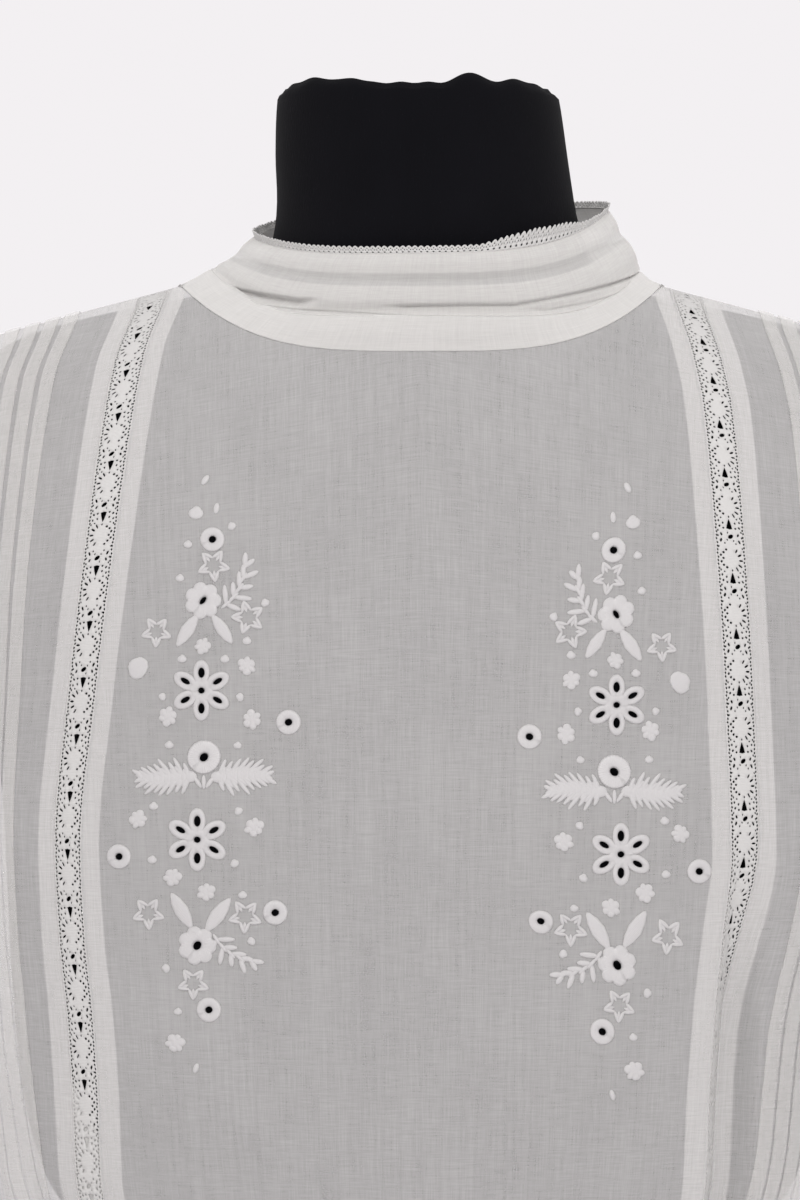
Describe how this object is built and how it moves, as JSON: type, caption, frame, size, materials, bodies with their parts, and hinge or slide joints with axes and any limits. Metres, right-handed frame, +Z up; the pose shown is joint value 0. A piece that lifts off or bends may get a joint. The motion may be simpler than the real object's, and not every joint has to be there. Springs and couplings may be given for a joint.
{
  "type": "blouse on dress form",
  "caption": "White sheer cotton blouse with lace insertions, tucks, whitework sprays and a soft stand collar, on a black limbless dress form with a round base.",
  "frame": {"origin": "on the floor, under the middle of the round base", "axes": "+Z up, the front of the blouse faces -Y, +X towards the viewer's right"},
  "size_m": [0.5652, 0.27, 0.871],
  "materials": {
    "lawn": "sheer plain weave",
    "doubled_lawn": "two layers of sheer plain weave",
    "lace": "cotton bobbin lace",
    "button": "pearl shell",
    "jersey": "matt black jersey",
    "painted_stand": "satin black paint"
  },
  "bodies": {
    "root": {"front_centre": "lawn", "lace_left": "lace", "lace_right": "lace", "side_front_left": "lawn", "side_front_right": "lawn", "back_left": "lawn", "back_right": "lawn", "neckband": "doubled_lawn", "collar": "doubled_lawn", "collar_edging": "lace", "sleeve_left": "lawn", "sleeve_right": "lawn", "cuff_left": "doubled_lawn", "cuff_right": "doubled_lawn", "waistband": "doubled_lawn", "button_1": "button", "button_2": "button", "button_3": "button", "button_4": "button", "button_5": "button", "button_6": "button", "button_7": "button", "button_8": "button", "form_torso": "jersey", "stand_pole": "painted_stand", "stand_base": "painted_stand"}
  },
  "joints": []
}
